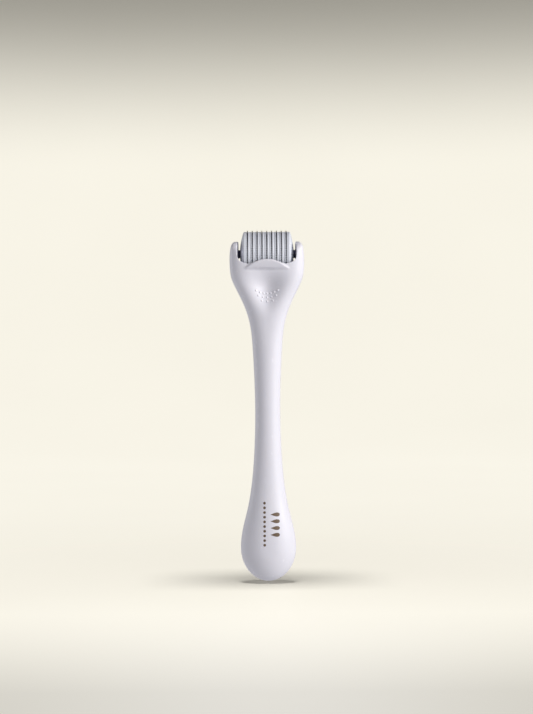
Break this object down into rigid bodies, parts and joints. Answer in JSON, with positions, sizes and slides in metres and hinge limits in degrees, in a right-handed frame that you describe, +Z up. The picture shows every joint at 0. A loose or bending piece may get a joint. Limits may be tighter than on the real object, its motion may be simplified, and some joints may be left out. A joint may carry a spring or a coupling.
{
  "type": "derma roller",
  "caption": "Hand roller with a slim hollow handle, a forked head with a finger guard, and a free-turning drum of needle discs and spacer rings on a keyed shaft.",
  "frame": {"origin": "lowest point of the handle's rounded butt, on the handle's centreline", "axes": "+Z up the handle to the drum, -Y towards the front (thumb dish and finger guard), +X towards the right-hand ear, along the drum's axis"},
  "size_m": [0.0311, 0.0215, 0.145],
  "materials": {
    "handle_plastic": "satin white with a faint cool lilac tint",
    "drum_plastic": "satin white, slightly translucent",
    "needle_steel": "dark bright steel",
    "shaft_plastic": "navy black, satin",
    "print_ink": "matt brown ink, a plain ornament printed on the bulb"
  },
  "bodies": {
    "handle": {"front_shell": "handle_plastic", "rear_shell": "handle_plastic"},
    "drum": {"drum_shaft": "shaft_plastic", "end_cap_left": "drum_plastic", "end_cap_right": "drum_plastic", "needle_disc_1": "needle_steel", "needle_disc_2": "needle_steel", "needle_disc_3": "needle_steel", "needle_disc_4": "needle_steel", "needle_disc_5": "needle_steel", "needle_disc_6": "needle_steel", "needle_disc_7": "needle_steel", "needle_disc_8": "needle_steel", "needle_disc_9": "needle_steel", "spacer_ring_1": "drum_plastic", "spacer_ring_2": "drum_plastic", "spacer_ring_3": "drum_plastic", "spacer_ring_4": "drum_plastic", "spacer_ring_5": "drum_plastic", "spacer_ring_6": "drum_plastic", "spacer_ring_7": "drum_plastic", "spacer_ring_8": "drum_plastic"}
  },
  "joints": [
    {"name": "drum_spin", "type": "hinge", "parent": "handle", "child": "drum", "pos_m": [0, 0.003, 0.13525], "axis": [1, 0, 0], "continuous": true}
  ]
}
